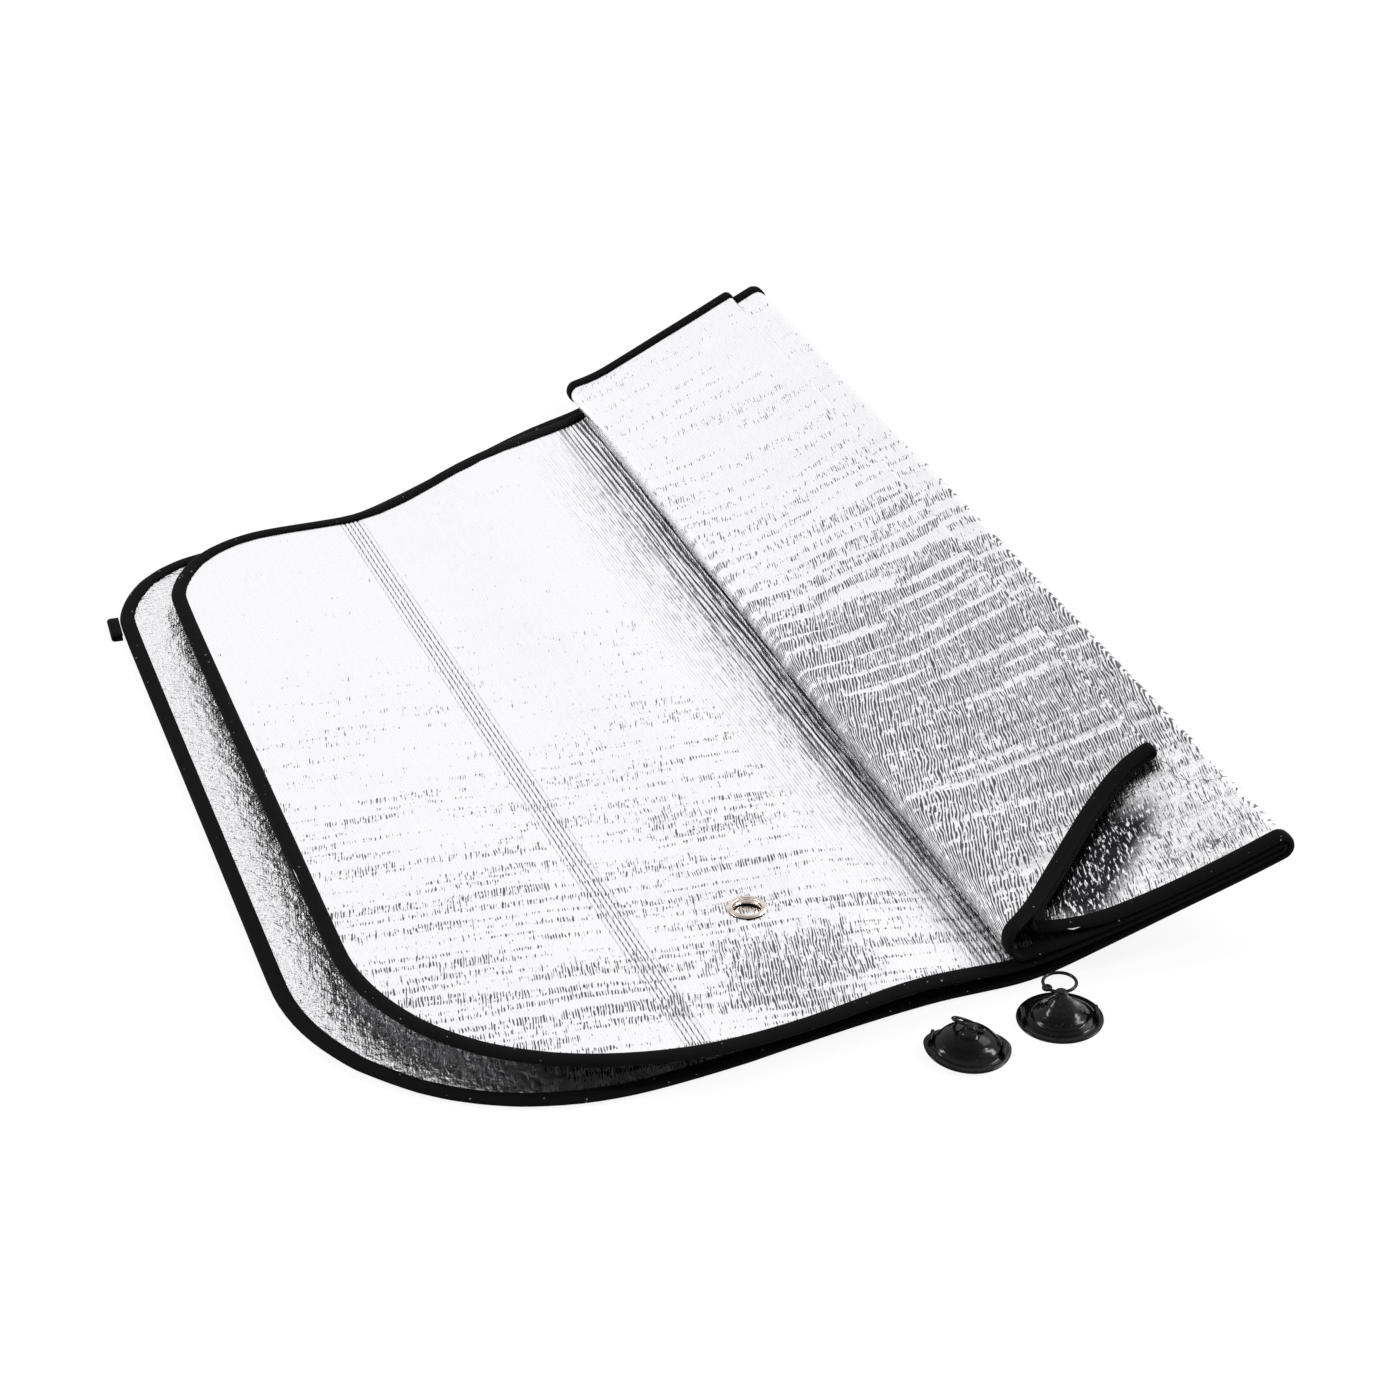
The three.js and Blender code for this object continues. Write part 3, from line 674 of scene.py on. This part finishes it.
def rippleAt(x, y, settings):
    height = settings["height"]
    height += (settings["stripHeight"] - height) * smoothShare(x, *settings["stripRight"])
    inNotch = smoothShare(x, *settings["notchLeft"]) * smoothShare(y, *settings["notchFar"])
    height += (settings["notchHeight"] - height) * inNotch
    wave = waveAt(x, y, settings["wide"]) + settings["fineShare"] * waveAt(x, y, settings["fine"])
    middle, spread = settings["lift"]
    share = min(max(middle + spread * wave, 0), 1)
    for eyelet in settings["eyelets"]:
        away = math.hypot(x - eyelet[0], y - eyelet[1])
        share *= smoothShare(away, *settings["eyeletClear"])
    return height * share


def applyRipple(bm, settings):
    for v in bm.verts:
        v.co.z += rippleAt(v.co.x, v.co.y, settings)


# The one folded sheet
sheetSettings = {
    "flat": (1.27, 0.57),
    "area": 0.655,
    "cutAlong": 0.005,       # spacing of the cuts that let it ripple
    "cutAcross": 0.007,
    "bulge": 0.0068,         # how far the lower layer is raised under the upper eyelet's hole
    "bulgeReach": (0.017, 0.0065),
    "bulgeBelow": 0.006,
}


def raiseUnderEyelet(bm, settings):
    # The lower layer shows through the hole
    middle = rippleSettings["eyelets"][0]
    for v in bm.verts:
        if v.co.z < settings["bulgeBelow"]:
            away = math.hypot(v.co.x - middle[0], v.co.y - middle[1])
            v.co.z += settings["bulge"] * smoothShare(away, *settings["bulgeReach"])


def makeFoilSheet(settings):
    bm = copyOfNode("foil_sheet")
    low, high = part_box("foil_sheet")
    cutAcross(bm, 1, low.y + settings["cutAlong"], high.y, settings["cutAlong"])
    cutAcross(bm, 0, low.x + settings["cutAcross"], high.x, settings["cutAcross"])
    applyRipple(bm, rippleSettings)
    raiseUnderEyelet(bm, settings)
    return finishPiece("foilSheet", bm, foilMaterial, "foil", "foil_sheet")


foilSheet = makeFoilSheet(sheetSettings)


# Binding: the tape folded over the sheet's edge, all the way round
bindingSettings = {
    "fullness": 0.00048,     # how far the tape is puffed out before it is rounded
}


def makeBinding(settings):
    bm = copyOfNode("edge_binding")
    bm.normal_update()
    outward = {v: v.normal.copy() for v in bm.verts}
    for v in bm.verts:
        v.co += outward[v] * settings["fullness"]
    applyRipple(bm, rippleSettings)
    piece = finishPiece("edgeBinding", bm, tapeMaterial, "tape", "edge_binding")
    addSubdivision(piece, 1)
    return piece


edgeBinding = makeBinding(bindingSettings)


# Eyelets: a barrel with a rolled lip, over its washer
eyeletSettings = {           # in millimetres
    "hole": 12.3,
    "outer": 17.4,
    "wall": 0.45,
    "seat": 0.9,             # from the sheet's middle to the lip's underside
    "lip": 0.6,
    "steps": 64,
}


def seatOf(nodeName, topHeight, facing):
    points = np.array([v.co for v in nodes[nodeName].data.vertices])
    middle = points.mean(axis=0)
    axis = Vector(np.linalg.svd(points - middle, full_matrices=False)[2][2])
    if axis.z * facing < 0:
        axis.negate()
    top = max((Vector(p - middle)).dot(axis) for p in points)
    centre = Vector(middle) + axis * (top - topHeight * mm)
    turn = axis.to_track_quat("Z", "Y").to_matrix().to_4x4()
    return Matrix.Translation(centre) @ turn @ Matrix.Scale(mm, 4)


def spinRound(bm, geometry, steps):
    full = 2 * math.pi
    bmesh.ops.spin(bm, geom=geometry, cent=(0, 0, 0), axis=(0, 0, 1), angle=full, steps=steps, use_merge=True)


def spinProfile(bm, points, steps):
    verts = [bm.verts.new((r, 0, z)) for r, z in points]
    edges = [bm.edges.new(pair) for pair in zip(verts, verts[1:])]
    spinRound(bm, verts + edges, steps)
    bmesh.ops.remove_doubles(bm, verts=bm.verts[:], dist=1e-4)
    bmesh.ops.recalc_face_normals(bm, faces=bm.faces[:])


def makeEyelet(name, nodeName, facing, settings):
    inner = settings["hole"] / 2
    outer = settings["outer"] / 2
    seat = settings["seat"]
    top = seat + settings["lip"]
    points = [
        (inner, -top - 0.2),
        (inner - 0.02, 0),
        (inner + 0.05, top - 0.35),
        (inner + 0.45, top - 0.02),
        (inner + 1.2, top),
        (outer - 0.6, top - 0.12),
        (outer - 0.08, top - 0.35),
        (outer, seat + 0.12),
        (outer - 0.15, seat),
        (inner + settings["wall"], seat),
        (inner + settings["wall"], -top + 0.2),
        (inner + settings["wall"] + 0.7, -top + 0.1),
        (inner + settings["wall"] + 0.6, -top - 0.2),
    ]
    bm = bmesh.new()
    spinProfile(bm, [*points, points[0]], settings["steps"])
    bm.transform(seatOf(nodeName, top, facing))
    piece = finishPiece(name, bm, eyeletMaterial, "eyelet_metal", nodeName)
    addSubdivision(piece, 2)
    return piece


makeEyelet("upperEyelet", "upper_eyelet", 1, eyeletSettings)
makeEyelet("lowerEyelet", "lower_eyelet", -1, eyeletSettings)
for name in ("upper_eyelet_washer", "lower_eyelet_washer"):
    nodes[name].data.materials.clear()
    nodes[name].data.materials.append(eyeletMaterial)


# Elastic closing loop at the end of the lower half
loopSettings = {
    "reach": 0.0052,
    "tape": 0.0009,
    "inside": 0.0008,
    "turnSteps": 8,
    "widthSteps": 6,
}


def isAcross(edge, along):
    ends = [v.co.dot(along) for v in edge.verts]
    return abs(ends[0] - ends[1]) < 1e-6


def loopPath(settings):
    # Out, round the turn and back, seen from the tape's edge
    radius = (settings["inside"] + settings["tape"]) / 2
    straight = settings["reach"] - radius - settings["tape"] / 2
    path = [(0, radius)]
    for i in range(settings["turnSteps"] + 1):
        angle = math.pi * i / settings["turnSteps"]
        path.append((straight + radius * math.sin(angle), radius * math.cos(angle)))
    return [*path, (0, -radius)]


def makeElasticLoop(settings):
    points = np.array([v.co for v in nodes["elastic_loop"].data.vertices])
    middle = points.mean(axis=0)
    along = Vector(np.linalg.svd(points - middle, full_matrices=False)[2][0])
    if along.y < 0:
        along.negate()
    out = Vector((0, 0, 1)).cross(along).normalized()
    up = along.cross(-out).normalized()
    low = [min(Vector(p).dot(axis) for p in points) for axis in (out, along, up)]
    high = [max(Vector(p).dot(axis) for p in points) for axis in (out, along, up)]

    bm = bmesh.new()
    middleUp = (low[2] + high[2]) / 2
    start = out * low[0] + up * middleUp + along * low[1]
    verts = [bm.verts.new(start + out * px + up * pz) for px, pz in loopPath(settings)]
    edges = [bm.edges.new(pair) for pair in zip(verts, verts[1:])]
    step = along * ((high[1] - low[1]) / settings["widthSteps"])
    for _ in range(settings["widthSteps"]):
        made = bmesh.ops.extrude_edge_only(bm, edges=edges)["geom"]
        bmesh.ops.translate(bm, vec=step, verts=[g for g in made if isinstance(g, bmesh.types.BMVert)])
        edges = [g for g in made if isinstance(g, bmesh.types.BMEdge) and isAcross(g, along)]
    bmesh.ops.solidify(bm, geom=bm.faces[:], thickness=settings["tape"])
    bmesh.ops.recalc_face_normals(bm, faces=bm.faces[:])
    inside = sum((v.co for v in bm.verts), Vector()) / len(bm.verts)
    shift = middleUp - inside.dot(up)
    bmesh.ops.translate(bm, vec=up * shift, verts=bm.verts[:])
    lowest = min(v.co.z for v in bm.verts)
    bmesh.ops.translate(bm, vec=(0, 0, max(-lowest, 0)), verts=bm.verts[:])
    return finishPiece("elasticLoop", bm, tapeMaterial, "elastic", "elastic_loop")


makeElasticLoop(loopSettings)


# Suction cups, one moulding each: sucker, neck, head ring with its eye, two lugs on the rim
cupSettings = {              # in millimetres
    "diameter": 36.7,
    "rim": 3.6,
    "rimThickness": 1.0,
    "height": 11.5,
    "wall": 1.5,
    "neck": 5.5,
    "stub": 2.8,
    "ringOuter": 15.5,
    "ringWire": 1.5,
    "ringSteps": 48,
    "eyeOuter": 4.6,
    "eyeHole": 1.9,
    "eyeAt": (-0.8, 0.45),   # in radii of the ring
    "eyeSteps": 24,
    "wireSides": 12,
    "lug": (1.6, 8.0, 4.2),
    "lugInset": 0.6,
    "lugSink": 0.3,
    "lugRound": 0.5,
    "bendHeight": 4,         # above the rim, where a bent rim is straight again
    "ridges": 4,
    "ridge": 0.16,
    "steps": 72,
}
cupPlaces = {                # angles in radians
    "suctionCupRight": {
        "node": "suction_cup_right", "axis": (89.84, -287.16), "turn": -0.35, "tilt": 0, "lean": 0,
        "drop": 0, "bent": 1.0, "headTilt": 0, "headRoll": 0, "foot": 0.80, "hollow": 0.5,
    },
    "suctionCupLeft": {
        "node": "suction_cup_left", "axis": (44.84, -293.16), "turn": -0.56, "tilt": 0.05, "lean": 0.09,
        "drop": 3.5, "bent": 0.6, "headTilt": -0.6, "headRoll": 0.31, "foot": 0.96, "hollow": -0.9,
    },
}


def addRing(bm, radius, wire, sides, steps, place):
    start = set(bm.verts)
    circle = bmesh.ops.create_circle(bm, segments=sides, radius=wire)["verts"]
    edges = list({e for v in circle for e in v.link_edges})
    toRing = Matrix.Translation((radius, 0, 0)) @ Matrix.Rotation(math.pi / 2, 4, "X")
    bmesh.ops.transform(bm, matrix=toRing, verts=circle)
    spinRound(bm, circle + edges, steps)
    made = [v for v in bm.verts if v not in start]
    bmesh.ops.transform(bm, matrix=place, verts=made)


def ridgedFlank(foot, top, depth, settings):
    # The cone's side between rim and neck: hollow or full, with low moulded ridges
    points = []
    count = settings["ridges"]
    for i in range(2 * count + 1):
        share = i / (2 * count)
        hollow = depth * math.sin(math.pi * share)
        proud = settings["ridge"] if i % 2 else 0
        points.append([foot[k] + (top[k] - foot[k]) * share - hollow + proud for k in (0, 1)])
    return points


def cupProfile(place, settings):
    radius = settings["diameter"] / 2
    rimIn = radius - settings["rim"]
    neck = settings["neck"] / 2
    height = settings["height"]
    top = height + settings["stub"]
    rim = settings["rimThickness"]
    wall = settings["wall"]
    foot = rimIn * place["foot"]
    return [
        (0, height * 0.82 - wall),
        (neck, height * 0.76 - wall),
        (rimIn * 0.46, height * 0.56 - wall),
        (rimIn * 0.7, height * 0.34 - wall * 0.8),
        (rimIn - 1.8, 0.35),
        (rimIn, 0),
        (radius - 0.4, 0),
        (radius, 0.2),
        (radius, rim * 0.6),
        (radius - 0.3, rim),
        (rimIn + 0.9, rim * 0.95),
        (rimIn + 0.3, rim + 0.15),
        (rimIn - 0.1, rim + 0.65),
        (foot + 0.4, rim + 0.8),
        *ridgedFlank((foot, height * 0.24), (neck + 1.9, height * 0.80), place["hollow"], settings),
        (neck + 0.6, height * 0.93),
        (neck, height),
        (neck, top - 0.9),
        (neck - 0.25, top - 0.3),
        (neck - 0.8, top),
        (0, top),
    ]


def addHead(bm, place, settings):
    # The head ring starts at the neck and carries a small eye
    wire = settings["ringWire"] / 2
    ringRadius = settings["ringOuter"] / 2 - wire
    head = (
        Matrix.Translation((0, 0, settings["height"] + settings["stub"] - wire))
        @ Matrix.Rotation(place["headRoll"], 4, "Y")
        @ Matrix.Rotation(place["headTilt"], 4, "X")
    )
    sides = settings["wireSides"]
    addRing(bm, ringRadius, wire, sides, settings["ringSteps"], head @ Matrix.Translation((0, ringRadius, 0)))
    eyeWire = (settings["eyeOuter"] - settings["eyeHole"]) / 4
    eyeX, eyeY = (share * ringRadius for share in settings["eyeAt"])
    eyePlace = Matrix.Translation((eyeX, eyeY, 0)) @ Matrix.Diagonal((1, 1, wire / eyeWire, 1))
    addRing(bm, settings["eyeOuter"] / 2 - eyeWire, eyeWire, sides, settings["eyeSteps"], head @ eyePlace)


def addLugs(bm, settings):
    out = settings["diameter"] / 2 - settings["rim"] + settings["lugInset"]
    up = settings["rimThickness"] / 2 + settings["lug"][2] / 2 - settings["lugSink"]
    for side in (-1, 1):
        lug = bmesh.ops.create_cube(bm, size=1)["verts"]
        place = Matrix.Translation((side * out, 0, up)) @ Matrix.Diagonal((*settings["lug"], 1))
        bmesh.ops.transform(bm, matrix=place, verts=lug)
        edges = list({e for v in lug for e in v.link_edges})
        bmesh.ops.bevel(
            bm, geom=edges, offset=settings["lugRound"], segments=3, profile=0.5, affect="EDGES", material=-1
        )


def layDown(bm, place, settings):
    # One cup has sagged, with the back of its rim bent in and its left side raised
    rim = settings["rimThickness"]
    for v in bm.verts:
        v.co.z -= place["drop"] * min(max((v.co.z - rim) / (settings["height"] - rim), 0), 1)
    bm.transform(Matrix.Rotation(place["turn"], 4, "Z") @ Matrix.Rotation(place["tilt"], 4, "X"))
    toView = Matrix.Rotation(math.radians(cameraSettings["turn"]), 4, "Z")
    bm.transform(toView.inverted())
    for v in bm.verts:
        if v.co.y > 0:
            v.co.y *= 1 - (1 - place["bent"]) * smoothShare(v.co.z, rim + settings["bendHeight"], rim)
    bm.transform(toView @ Matrix.Rotation(place["lean"], 4, "Y"))
    lowest = min(v.co.z for v in bm.verts)
    bm.transform(Matrix.Scale(mm, 4) @ Matrix.Translation((*place["axis"], -lowest)))


def makeCup(name, place, settings):
    bm = bmesh.new()
    spinProfile(bm, cupProfile(place, settings), settings["steps"])
    addHead(bm, place, settings)
    addLugs(bm, settings)
    layDown(bm, place, settings)
    bmesh.ops.recalc_face_normals(bm, faces=bm.faces[:])
    piece = finishPiece(name, bm, cupMaterial, "cup", place["node"])
    addSubdivision(piece, 1)
    return piece


for name, place in cupPlaces.items():
    makeCup(name, place, cupSettings)


# Pale floor and soft studio light
studioSettings = {
    "floorSize": 12,
    "floorColour": (0.85, 0.85, 0.86, 1),
    "floorDrop": 0.0001,
    "floorRoughness": 0.9,
    "floorWhite": 0.88,      # share of plain white that the camera sees in the floor
    "sky": (                 # height in the sky, brightness
        (0.0, 0.9),
        (0.2, 1.0),
        (0.64, 1.0),
        (0.80, 0.55),
        (1.0, 0.25),
    ),
    "lamps": {               # aimed at the middle of the floor, power in watts
        "key": {"place": (1.8, 0.9, 1.9), "size": (0.9, 0.9), "power": 9},
        "leftStrip": {"place": (-1.6, 0.5, 1.3), "size": (0.35, 0.9), "power": 25},
        "rightStrip": {"place": (1.6, -0.4, 1.25), "size": (0.35, 0.9), "power": 25},
    },
}


def makeFloor(settings):
    bm = bmesh.new()
    bmesh.ops.create_grid(bm, x_segments=4, y_segments=4, size=settings["floorSize"] / 2)
    bmesh.ops.translate(bm, vec=(0, 0, -settings["floorDrop"]), verts=bm.verts[:])
    mesh = bpy.data.meshes.new("floor")
    bm.to_mesh(mesh)
    bm.free()
    material = bpy.data.materials.new("pale floor")
    material.use_nodes = True
    tree = material.node_tree
    shader = tree.nodes["Principled BSDF"]
    shader.inputs["Base Color"].default_value = settings["floorColour"]
    shader.inputs["Roughness"].default_value = settings["floorRoughness"]
    white = addNode(tree, "ShaderNodeEmission")
    rays = addNode(tree, "ShaderNodeLightPath")
    share = product(tree, rays.outputs["Is Camera Ray"], settings["floorWhite"])
    mix = addNode(tree, "ShaderNodeMixShader")
    feed(tree, mix.inputs[0], share)
    tree.links.new(shader.outputs[0], mix.inputs[1])
    tree.links.new(white.outputs[0], mix.inputs[2])
    tree.links.new(mix.outputs[0], tree.nodes["Material Output"].inputs["Surface"])
    mesh.materials.append(material)
    floor = bpy.data.objects.new("floor", mesh)
    bpy.context.scene.collection.objects.link(floor)


def makeSky(settings):
    world = bpy.data.worlds.new("studio")
    bpy.context.scene.world = world
    world.use_nodes = True
    tree = world.node_tree
    background = tree.nodes["Background"]
    height = axesOf(tree, addNode(tree, "ShaderNodeTexCoord").outputs["Generated"])[2]
    shades = addNode(tree, "ShaderNodeValToRGB")
    feed(tree, shades.inputs[0], height)
    stops = shades.color_ramp.elements
    while len(stops) < len(settings["sky"]):
        stops.new(0.5)
    for stop, (position, level) in zip(stops, settings["sky"]):
        stop.position = position
        stop.color = (level, level, level * 1.01, 1)
    rays = addNode(tree, "ShaderNodeLightPath")
    plain = mixColours(tree, rays.outputs["Is Camera Ray"], shades.outputs[0], (1, 1, 1, 1))
    feed(tree, background.inputs[0], plain)
    background.inputs[1].default_value = 1.0


def makeLamp(name, place, size, power):
    data = bpy.data.lights.new(name, "AREA")
    data.shape = "RECTANGLE"
    data.size, data.size_y = size
    data.energy = power
    lamp = bpy.data.objects.new(name, data)
    lamp.location = place
    lamp.rotation_euler = (-Vector(place)).to_track_quat("-Z", "Y").to_euler()
    bpy.context.scene.collection.objects.link(lamp)


makeFloor(studioSettings)
makeSky(studioSettings)
for name, lamp in studioSettings["lamps"].items():
    makeLamp(name, **lamp)
bpy.context.scene.view_settings.view_transform = "Standard"
print("studio set")
